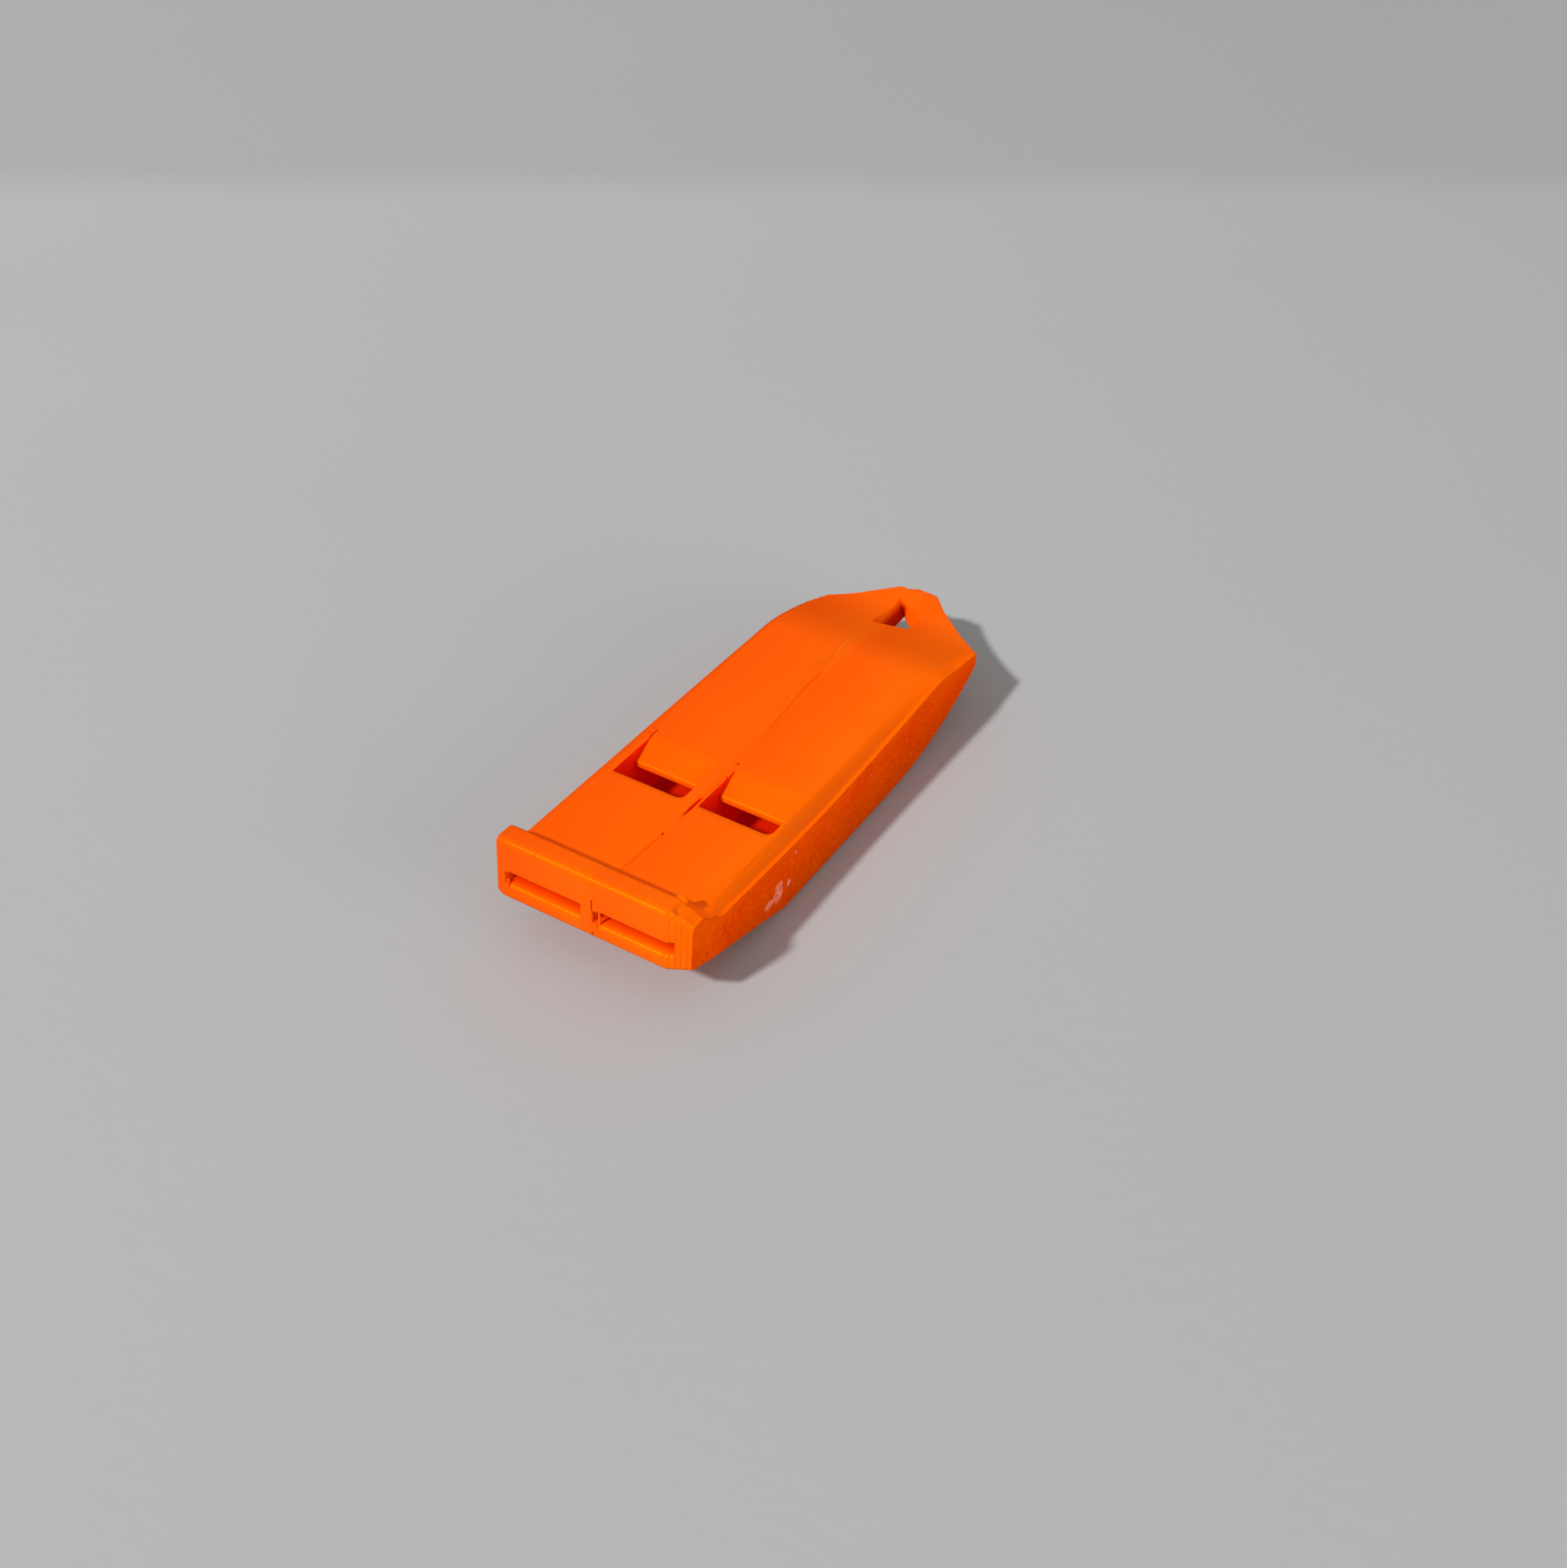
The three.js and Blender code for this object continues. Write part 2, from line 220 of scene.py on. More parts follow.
def between(low, high, fade, value):
    """1 from low to high, and a smooth fade outside them."""
    return smooth(low - fade, low, value) * (1 - smooth(high, high + fade, value))


def top_at(y):
    if y <= RAMP_FOOT:
        return DECK - TAB_DROP * smooth(RAMP_START, RAMP_FOOT, y)
    return DECK - TAB_DROP + TAB_RISE * (y - RAMP_FOOT) / (LENGTH - RAMP_FOOT)


def bottom_at(y):
    if y < WEDGE_END:
        return MOUTH_BOTTOM * (1 - y / WEDGE_END)
    if y <= BELLY_END:
        return 0.0
    if y < KEEL_END:
        rise = top_at(KEEL_END) - TAB_THICKNESS
        return rise * ((y - BELLY_END) / (KEEL_END - BELLY_END)) ** KEEL_CURVE
    return top_at(y) - TAB_THICKNESS


def middle_at(y):
    """A height between the upper and the lower surface."""
    return (top_at(y) + bottom_at(y)) / 2 if y > LIP_LENGTH else WINDWAY_ROOF


def edge_depth(depths, y):
    """How far a side wall's rounded edge is drawn in at a length."""
    mouth, middle, tail, bulge = depths
    run, end = (EDGE_MIDDLE, mouth) if y < EDGE_MIDDLE else (DECK_END - EDGE_MIDDLE, tail)
    return mix(middle, end, min(1.0, abs(y - EDGE_MIDDLE) / run) ** bulge)


def along(path, t):
    """Value on a line drawn through points (value, t)."""
    for (a, low), (b, high) in zip(path, path[1:]):
        if t <= high:
            return mix(a, b, max(0.0, (t - low) / (high - low)))
    return path[-1][0]


# Modelling by hand: modes, selections and the operators that the pieces share

def object_mode():
    if bpy.context.object and bpy.context.object.mode != "OBJECT":
        bpy.ops.object.mode_set(mode="OBJECT")
    bpy.ops.object.select_all(action="DESELECT")


def take(piece):
    object_mode()
    bpy.context.view_layer.objects.active = piece
    piece.select_set(True)


def edit(piece):
    take(piece)
    bpy.ops.object.mode_set(mode="EDIT")


def pick(kind, test):
    """Selects only the points, edges or faces of the piece in hand that pass the test."""
    mesh = bpy.context.object.data
    bpy.ops.mesh.select_all(action="DESELECT")
    bpy.ops.mesh.select_mode(type=kind)
    shape = bmesh.from_edit_mesh(mesh)
    for part in {"VERT": shape.verts, "EDGE": shape.edges, "FACE": shape.faces}[kind]:
        part.select_set(bool(test(part)))
    shape.select_flush_mode()
    bmesh.update_edit_mesh(mesh)


def at(point, y=None, z=None):
    return (y is None or abs(point.co.y - y) < NEAR) and (z is None or abs(point.co.z - z) < NEAR)


def runs_across(edge, y, z):
    return all(at(v, y, z) for v in edge.verts)


def cut(y=None, z=None, drop_low=False, drop_high=False):
    """Bisects the whole layer at a station or at a height, and may drop one side."""
    bpy.ops.mesh.select_mode(type="VERT")
    bpy.ops.mesh.select_all(action="SELECT")
    plane = ((0, y, 0), (0, 1, 0)) if z is None else ((0, 0, z), (0, 0, 1))
    bpy.ops.mesh.bisect(plane_co=plane[0], plane_no=plane[1], threshold=1e-5,
                        clear_inner=drop_low, clear_outer=drop_high)


def shift(test, y=0.0, z=0.0):
    pick("VERT", test)
    bpy.ops.transform.translate(value=(0, y, z))


def round_off(y, z, radius, segments):
    """Bevels the edge that runs across the layer at that station and height."""
    pick("EDGE", lambda e: runs_across(e, y, z))
    bpy.ops.mesh.bevel(offset=radius, segments=segments, profile=0.5, affect="EDGES")


def close_between(ends):
    """Fills the gap between the two open ends of a layer, given as (y, z)."""
    pick("EDGE", lambda e: any(runs_across(e, y, z) for y, z in ends))
    bpy.ops.mesh.edge_face_add()


def drop_sides():
    """Leaves only the rim of a layer, so that layers can be stacked into one skin."""
    pick("FACE", lambda f: abs(f.normal.x) > FACING)
    bpy.ops.mesh.delete(type="ONLY_FACE")
    pick("EDGE", lambda e: not e.link_faces)
    bpy.ops.mesh.delete(type="EDGE")


def named(name):
    piece = bpy.context.object
    piece.name = name
    piece.data.name = name
    return piece


def copy_of(piece, name):
    take(piece)
    bpy.ops.object.duplicate(linked=False)
    return named(name)


def new_slab(name, y0, y1, z0, z1, x0=0.0, x1=1.0):
    object_mode()
    bpy.ops.mesh.primitive_cube_add(
        size=1, location=((x0 + x1) / 2, (y0 + y1) / 2, (z0 + z1) / 2), scale=(x1 - x0, y1 - y0, z1 - z0))
    bpy.ops.object.transform_apply(location=True, rotation=True, scale=True)
    return named(name)


class Layers:
    """Printed layers along X: where they start, how thick each is, and how many there are."""

    AT_GROOVE = 0.05

    def __init__(self, start, pitch, count):
        self.start, self.pitch, self.count = start, pitch, count

    def around(self, x):
        """The layers that a place touches: two of them in the groove between them."""
        place = (x - self.start) / self.pitch
        near = round(place)
        if abs(place - near) < self.AT_GROOVE:
            return [k for k in (near - 1, near) if 0 <= k < self.count]
        return [min(self.count - 1, max(0, int(place)))]

    def value(self, x, per_layer):
        """The layer's own value, and at the groove between two layers the larger of theirs."""
        return max(per_layer[k] for k in self.around(x))

    def held(self, x, hold):
        """The place itself, moved by a share towards the middle of its layer."""
        touched = self.around(x)
        middle = self.start + (sum(touched) / len(touched) + 0.5) * self.pitch
        return mix(x, middle, hold)


def stack(piece, layers, groove=GROOVE):
    """Makes the rim one bead thick, repeats it layer by layer along X and closes both ends."""
    pitch = layers.pitch
    edit(piece)
    pick("VERT", lambda v: True)
    bpy.ops.transform.resize(value=(pitch, 1, 1), center_override=(0, 0, 0))
    pick("EDGE", lambda e: abs(e.verts[0].co.x - e.verts[1].co.x) > pitch / 2)
    bpy.ops.mesh.subdivide(number_cuts=2)
    bpy.ops.mesh.select_all(action="SELECT")
    bpy.ops.mesh.normals_make_consistent(inside=False)
    pick("VERT", lambda v: v.co.x < NEAR or v.co.x > pitch - NEAR)
    bpy.ops.transform.shrink_fatten(value=-groove, use_even_offset=True)
    pick("VERT", lambda v: True)
    bpy.ops.transform.translate(value=(layers.start, 0, 0))
    take(piece)
    copies = piece.modifiers.new("layers", "ARRAY")
    copies.count = layers.count
    copies.use_relative_offset = False
    copies.use_constant_offset = True
    copies.constant_offset_displace = (pitch, 0, 0)
    copies.use_merge_vertices = True
    copies.merge_threshold = NEAR
    bpy.ops.object.modifier_apply(modifier="layers")
    edit(piece)
    bpy.ops.mesh.select_all(action="SELECT")
    bpy.ops.mesh.fill_holes(sides=0)
    bpy.ops.mesh.normals_make_consistent(inside=False)
    object_mode()


def push(piece, axis, distance):
    """Moves points along an axis, or along their normals, each by a distance of its own."""
    least = 1e-6
    wanted = [distance(v.co) for v in piece.data.vertices]
    for sign in (1, -1):
        reach = max(sign * d for d in wanted)
        if reach < least:
            continue
        take(piece)
        paint = piece.vertex_groups.new(name="reach")
        for i, d in enumerate(wanted):
            if sign * d > least:
                paint.add([i], sign * d / reach, "REPLACE")
        move = piece.modifiers.new("push", "DISPLACE")
        move.direction = axis
        move.mid_level = 0
        move.strength = sign * reach
        move.vertex_group = "reach"
        bpy.ops.object.modifier_apply(modifier="push")
        piece.vertex_groups.remove(piece.vertex_groups["reach"])


def combine(piece, tool, operation):
    """Cuts a tool out of a piece, or melts it into the piece, and takes the tool away."""
    take(piece)
    change = piece.modifiers.new("change", "BOOLEAN")
    change.operation = operation
    change.solver = "EXACT"
    change.object = tool
    bpy.ops.object.modifier_apply(modifier="change")
    bpy.data.objects.remove(tool)


def carve(piece, y, z, x):
    """Cuts a block of space out of a piece, given from where to where along each axis."""
    combine(piece, new_slab("space", *y, *z, *x), "DIFFERENCE")


def drop(piece, place, sizes, operation="UNION"):
    """Melts a drop of plastic onto a piece, or leaves a pit of that shape in it."""
    object_mode()
    bpy.ops.mesh.primitive_uv_sphere_add(segments=24, ring_count=14, radius=1, location=place, scale=sizes)
    bpy.ops.object.transform_apply(location=True, rotation=True, scale=True)
    combine(piece, named("drop"), operation)


def uneven(piece, layers, seed):
    """Draws each layer in by a little of its own, as a nozzle never lays two layers quite alike."""
    draw = random.Random(seed)
    amounts = [UNEVEN_DEPTH * draw.random() ** UNEVEN_BIAS for _ in range(layers.count)]
    push(piece, "NORMAL", lambda p: -layers.value(p.x, amounts))


def beaded(piece, layers, test):
    """Deepens the grooves between the layers where the beads of an edge catch the light one by one."""
    push(piece, "NORMAL", lambda p: -BEAD_GROOVE if len(layers.around(p.x)) == 2 and test(p) else 0)


def stack_bay(piece, start, seed):
    """Stacks a layer into the bay of one of the two chambers."""
    layers = Layers(start, BAY_PITCH, BAY_LAYERS)
    stack(piece, layers)
    uneven(piece, layers, seed)
    return layers


def finish_piece(piece, node, material):
    """Brings a piece from millimetres at the mouth to metres in the frame, and hands it to its body."""
    take(piece)
    piece.scale = (MM, MM, MM)
    piece.location = (0, -LENGTH / 2 * MM, 0)
    bpy.ops.object.transform_apply(location=True, rotation=True, scale=True)
    bpy.ops.object.shade_smooth_by_angle(angle=math.radians(SMOOTH_ANGLE))
    piece.data.materials.clear()
    piece.data.materials.append(material)
    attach(piece, "root")
    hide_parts(node)


# Forms that several pieces share

def outline_layer():
    """One layer of the whole whistle, seen from its side."""
    layer = new_slab("outline_layer", 0, LENGTH, 0, DECK)
    edit(layer)
    for y in STATIONS:
        cut(y=y)
    pick("FACE", lambda f: f.normal.z > FACING and f.calc_center_median().y < LIP_LENGTH)
    bpy.ops.mesh.extrude_region_move(TRANSFORM_OT_translate={"value": (0, 0, LIP_TOP - DECK)})
    shift(lambda v: at(v, LIP_LENGTH, LIP_TOP), z=DECK - LIP_TOP)
    for y in LIP_STATIONS + [LIP_CREST]:
        shift(lambda v: at(v, y, LIP_TOP), z=-LIP_FALL * (y - LIP_EDGE) / (LIP_CREST - LIP_EDGE))
    bpy.ops.mesh.select_all(action="SELECT")
    bpy.ops.mesh.remove_doubles(threshold=NEAR)
    drop_sides()
    for y in [0.0] + STATIONS + [LENGTH]:
        if y > RAMP_START:
            shift(lambda v: at(v, y, DECK), z=top_at(y) - DECK)
        if bottom_at(y) > 0:
            shift(lambda v: at(v, y, 0), z=bottom_at(y))
    round_off(0, LIP_TOP, LIP_EDGE, 6)
    round_off(LIP_CREST, LIP_TOP - LIP_FALL, LIP_CREST_ROUND, 5)
    round_off(LIP_LENGTH, DECK, LIP_FOOT_ROUND, 3)
    round_off(0, MOUTH_BOTTOM, MOUTH_BOTTOM_ROUND, 4)
    round_off(LENGTH, top_at(LENGTH), TAB_TOP_ROUND, 3)
    round_off(LENGTH, bottom_at(LENGTH), TAB_BOTTOM_ROUND, 3)
    object_mode()
    return layer


def taper(piece, layers):
    """Shortens each layer to the tapered plan of the tail, and keeps its surfaces at their heights there."""
    ends = [along(TAIL_PLAN, layers.start + (k + 0.5) * layers.pitch) for k in range(layers.count)]

    def moved(p):
        end = min(ends[k] for k in layers.around(p.x))
        start = end - TAPER_RUN
        if p.y <= start:
            return p.y
        return start + (p.y - start) * TAPER_RUN / (LENGTH - start)

    def climb(p):
        surface = top_at if p.z > middle_at(p.y) else bottom_at
        return surface(moved(p)) - surface(p.y)

    push(piece, "Z", climb)
    push(piece, "Y", lambda p: moved(p) - p.y)


def drawn_in(piece, over, under, back):
    """Draws the layers of a side wall in towards its outer face: down, up and back from the mouth."""
    push(piece, "Y", lambda p: back(p) * max(0.0, 1 - p.y / LIP_LENGTH))
    push(piece, "Z", lambda p: -over(p) if p.z > middle_at(p.y) else under(p))


def crease(p):
    """Height of the seam that the two halves of the deck leave along the middle."""
    if p.y < LIP_LENGTH + 0.2 or p.z < top_at(p.y) - 0.2:
        return 0.0
    front = FRONT_CREASE_DEPTH * bump_at(p.x, along(FRONT_CREASE, p.y), FRONT_CREASE_HALF)
    front *= between(4.2, 9.2, 0.3, p.y)
    short = mix(*SHORT_CREASE_DEPTHS, smooth(14.3, 15.2, p.y))
    short *= bump_at(p.x, along(SHORT_CREASE, p.y), SHORT_CREASE_HALF) * between(12.8, 17.6, 0.4, p.y)
    off = p.x - along(REAR_CREASE, p.y)
    rise = mix(*REAR_STEP_RISES, smooth(35.5, 38.5, p.y))
    if off < 0:
        rear = rise * smooth(-REAR_STEP_LEFT, 0, off)
    elif off < REAR_STEP_WIDTH:
        rear = rise * (1 - 2 * smooth(0, REAR_STEP_WIDTH, off))
    else:
        rear = -rise * (1 - smooth(REAR_STEP_WIDTH, REAR_STEP_RIGHT, off))
    return rear * between(26, 46.4, 1.2, p.y) - front - short


def corner_back(x):
    """How far the right front corner is drawn back at a place across, ridge by ridge."""
    place = (x - CORNER_FROM) / RIDGE_WIDTH
    if place < -0.5:
        return 0.0
    ridge = CORNER_FROM + round(place) * RIDGE_WIDTH
    slope = CORNER_BACK / (HALF_WIDTH - CORNER_FROM)
    groove = RIDGE_DEPTH * (1 - bump_at(x, ridge, RIDGE_WIDTH / 2))
    return max(0.0, mix(x, ridge, 0.5) - CORNER_FROM) * slope + groove


def lip_drop(x):
    """How far the right end of the lip falls at a place across."""
    return 0.6 * smooth(6.7, 7.5, x) + 0.8 * smooth(7.4, HALF_WIDTH, x)


def front_corner(piece):
    lip_only = DECK + 0.5
    push(piece, "Y", lambda p: corner_back(p.x) * max(0.0, 1 - p.y / LIP_LENGTH))
    push(piece, "Z", lambda p: -lip_drop(p.x) * (1 - smooth(LIP_CREST, LIP_LENGTH, p.y)) if p.z > lip_only else 0)


def glints(piece, count, first):
    """Small beads of plastic on top of the corner's ridges."""
    for k in range(first, first + count):
        x = CORNER_FROM + k * RIDGE_WIDTH
        drop(piece, (x, 0.14 + 0.96 * corner_back(x), LIP_TOP - 0.15 - lip_drop(x)), GLINT_SIZES)


def on_lip_edge(p):
    return p.y < 0.7 and p.z > LIP_TOP - 0.7


def on_lower_lip_edge(p):
    return p.y < 0.7 and p.z > WINDWAY_FLOOR - 0.7


def on_nose_edge(p):
    return p.y < LABIUM_FRONT + 0.4 and p.z > NOSE_TOP - 0.25


def window_corner(d, corner):
    """How far a rounded corner of that radius draws back, at a distance from its end."""
    return corner * (1 - math.sqrt(max(0.0, 1 - ((corner - d) / corner) ** 2))) if d < corner else 0.0


# Pieces

def right_wall(layer):
    piece = copy_of(layer, "right_wall_layers")
    layers = Layers(BAY_OUTER, WALL_PITCH, WALL_LAYERS)
    stack(piece, layers, WALL_GROOVE)
    taper(piece, layers)

    def share(p):
        step = min(1.0, max(0.0, 1 - (HALF_WIDTH - layers.held(p.x, RIGHT_HOLD)) / RIGHT_ROUND))
        slope = min(1.0, step / (1 - RIGHT_LEDGE / RIGHT_ROUND)) ** RIGHT_CURVE
        return mix(slope, step, LEDGE_FALL)

    def over(p):
        behind = edge_depth(RIGHT_DEPTHS, p.y) * (1 - smooth(*RIGHT_FADE, p.y))
        behind -= FILLET_HEIGHT * bump_at(p.y, FILLET_AT, FILLET_HALF)
        return mix(lip_drop(p.x), behind * share(p), smooth(LIP_CREST, LIP_LENGTH, p.y))

    def slits(p):
        if p.z <= middle_at(p.y):
            return 0
        return -SLIT_DEPTH * max(
            bump_at(p.x, x, SLIT_HALF) * between(low, high, 0.5, p.y) for x, low, high in SLITS)

    drawn_in(piece, over, lambda p: edge_depth(RIGHT_UNDER_DEPTHS, p.y) * share(p), lambda p: corner_back(p.x))
    push(piece, "Z", slits)
    glints(piece, 3, 2)
    return piece


def left_wall(layer):
    piece = copy_of(layer, "left_wall_layers")
    layers = Layers(-HALF_WIDTH, WALL_PITCH, WALL_LAYERS)
    stack(piece, layers, WALL_GROOVE)
    taper(piece, layers)

    def share(p):
        step = min(1.0, max(0.0, 1 - (HALF_WIDTH + layers.held(p.x, LEFT_HOLD)) / LEFT_ROUND))
        return step * step

    def edge(p):
        return edge_depth(LEFT_DEPTHS, p.y) * share(p)

    drawn_in(piece, edge, edge, lambda p: LEFT_DEPTHS[0] * share(p))
    for x, y in LEFT_PITS:
        drop(piece, (x, y, DECK), LEFT_PIT_SIZES, "DIFFERENCE")
    seam = (-BAY_OUTER - 0.12, -BAY_OUTER + 0.1)
    carve(piece, y=(19.2, 20.5), z=(DECK - 0.2, DECK + 0.2), x=seam)
    slot_end = (-7.7, -7.2)
    carve(piece, y=(-0.5, PILLAR_DEPTH), z=(WINDWAY_FLOOR, WINDWAY_ROOF), x=slot_end)
    drop(piece, BEAD_PLACE, BEAD_SIZES)
    return piece


def divider(layer):
    piece = copy_of(layer, "divider_layers")
    edit(piece)
    cut(y=DECK_END, drop_high=True)
    close_between([(DECK_END, top_at(DECK_END)), (DECK_END, bottom_at(DECK_END))])
    object_mode()
    layers = Layers(-DIVIDER_HALF, DIVIDER_PITCH, DIVIDER_LAYERS)
    stack(piece, layers)
    uneven(piece, layers, 11)
    beaded(piece, layers, on_lip_edge)
    push(piece, "Z", crease)
    slot_end, crack, notch = (0.28, 0.9), (0.18, 0.3), (0.28, 0.4)
    carve(piece, y=(-0.5, PILLAR_DEPTH + 0.2), z=(WINDWAY_FLOOR, WINDWAY_ROOF), x=slot_end)
    carve(piece, y=(-0.1, 0.5), z=(WINDWAY_ROOF - 0.1, DECK), x=crack)
    carve(piece, y=(-0.1, 0.3), z=(MOUTH_BOTTOM - 0.2, MOUTH_BOTTOM + 0.5), x=notch)
    for x, y in MIDDLE_PITS:
        drop(piece, (x, y, DECK), MIDDLE_PIT_SIZES, "DIFFERENCE")
    return piece


def tail(layer):
    piece = copy_of(layer, "tail_layers")
    edit(piece)
    cut(y=DECK_END, drop_low=True)
    close_between([(DECK_END, top_at(DECK_END)), (DECK_END, bottom_at(DECK_END))])
    object_mode()
    layers = Layers(-BAY_OUTER, TAIL_PITCH, TAIL_LAYERS)
    stack(piece, layers)
    taper(piece, layers)
    uneven(piece, layers, 12)
    push(piece, "Z", crease)
    combine(piece, hole_cutter(), "DIFFERENCE")
    return piece


def hole_cutter():
    """The cord hole's space: skewed ends in steps, a left wall that sags inwards, and a soft upper rim."""
    piece = new_slab("hole_space", HOLE_LEFT_FRONT, HOLE_LEFT_REAR, HOLE_LOW, HOLE_HIGH)
    edit(piece)
    for z in HOLE_LEVELS:
        cut(z=z)
    drop_sides()
    object_mode()
    layers = Layers(-HOLE_HALF, 2 * HOLE_HALF / HOLE_LAYERS, HOLE_LAYERS)
    stack(piece, layers, HOLE_GROOVE)
    edit(piece)
    for z in HOLE_LEVELS:
        cut(z=z)
    object_mode()
    fronts, rears = [], []
    for k in range(HOLE_LAYERS):
        t = (k + 0.5) / HOLE_LAYERS
        corner = HOLE_LEFT_CORNER * (1 - smooth(0, 0.16, t)) + HOLE_RIGHT_CORNER * smooth(0.86, 1.0, t)
        fronts.append(t * (HOLE_RIGHT_FRONT - HOLE_LEFT_FRONT))
        rears.append(t * (HOLE_LEFT_REAR - HOLE_RIGHT_REAR) + corner)

    def lengthwise(p):
        rim = HOLE_RIM * smooth(*HOLE_RIM_HEIGHTS, p.z)
        if p.y < HOLE_MIDDLE:
            return layers.value(p.x, fronts) - rim
        bulge = HOLE_BULGE * (1 - smooth(4.6, 5.6, p.z)) * smooth(-0.4, 0.9, p.x)
        return rim - layers.value(p.x, rears) - bulge

    def sideways(p):
        left = HOLE_SAG * (1 - smooth(4.4, 6.0, p.z)) - HOLE_RIM_LEFT * smooth(5.5, 6.4, p.z)
        right = HOLE_RIM_RIGHT * smooth(*HOLE_RIM_HEIGHTS, p.z) * smooth(0.8, HOLE_HALF, p.x)
        return left * (1 - smooth(-HOLE_HALF, -0.6, p.x)) + right

    push(piece, "Y", lengthwise)
    push(piece, "X", sideways)
    return piece


def windway_roof(layer, name, start, seed):
    piece = copy_of(layer, name)
    edit(piece)
    cut(y=WINDWAY_END, drop_high=True)
    cut(z=WINDWAY_ROOF, drop_low=True)
    pick("EDGE", lambda e: runs_across(e, WINDWAY_END, DECK))
    bpy.ops.mesh.extrude_edges_move(TRANSFORM_OT_translate={"value": (0, 0, WINDWAY_ROOF - DECK)})
    close_between([(WINDWAY_END, WINDWAY_ROOF), (0, WINDWAY_ROOF)])
    round_off(WINDWAY_END, DECK, WINDOW_TOP_ROUND, 2)
    round_off(WINDWAY_END, WINDWAY_ROOF, WINDOW_BOTTOM_ROUND, 2)
    round_off(0, WINDWAY_ROOF, SLOT_ROOF_ROUND, 3)
    object_mode()
    layers = stack_bay(piece, start, seed)
    end = start + BAY_PITCH * BAY_LAYERS
    push(piece, "Y", lambda p: window_corner(end - p.x, WINDOW_CORNER) if p.y > WINDWAY_END - 0.4 else 0)
    beaded(piece, layers, on_lip_edge)
    if start > 0:
        front_corner(piece)
        push(piece, "Z", dent)
        drop(piece, BLOB_PLACE, BLOB_SIZES)
        glints(piece, 2, 0)
    return piece


def dent(p):
    """Height of the dent in the lip's top, in front of the blob."""
    if p.z <= 9:
        return 0
    return -DENT_DEPTH * bump_at(math.hypot(p.x - DENT_PLACE[0], p.y - DENT_PLACE[1]), 0, DENT_RADIUS)


def windway_block(layer, name, start, seed):
    piece = copy_of(layer, name)
    edit(piece)
    cut(y=WINDWAY_END, drop_high=True)
    cut(z=WINDWAY_FLOOR, drop_high=True)
    foot = bottom_at(WINDWAY_END)
    pick("EDGE", lambda e: runs_across(e, WINDWAY_END, foot))
    bpy.ops.mesh.extrude_edges_move(TRANSFORM_OT_translate={"value": (0, 0, WINDWAY_FLOOR - foot)})
    close_between([(WINDWAY_END, WINDWAY_FLOOR), (0, WINDWAY_FLOOR)])
    cut(y=1.2)
    cut(y=1.8)
    round_off(0, WINDWAY_FLOOR, LOWER_LIP_ROUND, 6)
    object_mode()
    layers = stack_bay(piece, start, seed)
    beaded(piece, layers, on_lower_lip_edge)
    if start > 0:
        front_corner(piece)
        strand(piece)
    return piece


def strand(piece):
    """A thread that sagged off the right slot's end while it was bridged."""
    object_mode()
    bpy.ops.mesh.primitive_cylinder_add(vertices=12, radius=STRAND_RADIUS, depth=STRAND_LENGTH, location=STRAND_PLACE)
    bpy.ops.object.transform_apply(location=True, rotation=True, scale=True)
    combine(piece, named("strand"), "UNION")


def labium_deck(name, start, seed):
    piece = new_slab(name, LABIUM_FRONT, DECK_END, DECK_UNDERSIDE, DECK)
    edit(piece)
    cut(y=LABIUM_TOP)
    shift(lambda v: at(v, LABIUM_FRONT, DECK), z=NOSE_TOP - DECK)
    shift(lambda v: at(v, LABIUM_FRONT, DECK_UNDERSIDE), z=NOSE_BOTTOM - DECK_UNDERSIDE)
    stations = NOSE_STATIONS + even(LABIUM_DECK_START, DECK_END, 26)
    for y in stations:
        cut(y=y)
    drop_sides()
    for y in stations + [DECK_END]:
        if y > RAMP_START:
            shift(lambda v: at(v, y, DECK), z=top_at(y) - DECK)
    round_off(LABIUM_FRONT, NOSE_TOP, NOSE_TOP_ROUND, 4)
    round_off(LABIUM_FRONT, NOSE_BOTTOM, NOSE_BOTTOM_ROUND, 2)
    round_off(LABIUM_TOP, DECK, LABIUM_TOP_ROUND, 5)
    object_mode()
    layers = stack_bay(piece, start, seed)
    beaded(piece, layers, on_nose_edge)
    edit(piece)
    for y in NOSE_STATIONS + [19.0, LABIUM_DECK_START]:
        cut(y=y)
    object_mode()
    push(piece, "Y", lambda p: window_corner(p.x - start, NOSE_CORNER) * (1 - smooth(17.2, 18.2, p.y)))
    push(piece, "Z", crease)
    return piece


def bottom_strip(layer, name, y0, y1):
    """The underside of the layer between two stations, cut free from the rest of it."""
    piece = copy_of(layer, name)
    edit(piece)
    cut(y=y0, drop_low=True)
    cut(y=y1, drop_high=True)
    pick("FACE", lambda f: f.calc_center_median().z > 5.5)
    bpy.ops.mesh.delete(type="FACE")
    pick("FACE", lambda f: True)
    return piece


def chamber_floor(layer, name, start, end, seed):
    piece = bottom_strip(layer, name, WINDWAY_END, end)
    bpy.ops.mesh.extrude_region_move(TRANSFORM_OT_translate={"value": (0, 0, FLOOR_THICKNESS)})
    drop_sides()
    object_mode()
    stack_bay(piece, start, seed)
    return piece


def chamber_stop(layer, name, start, end, seed):
    piece = bottom_strip(layer, name, end, DECK_END)
    bpy.ops.mesh.extrude_region_move(TRANSFORM_OT_translate={"value": (0, 0, DECK_UNDERSIDE)})
    bpy.ops.transform.resize(value=(1, 1, 0), center_override=(0, 0, DECK_UNDERSIDE))
    drop_sides()
    object_mode()
    stack_bay(piece, start, seed)
    return piece


# Materials

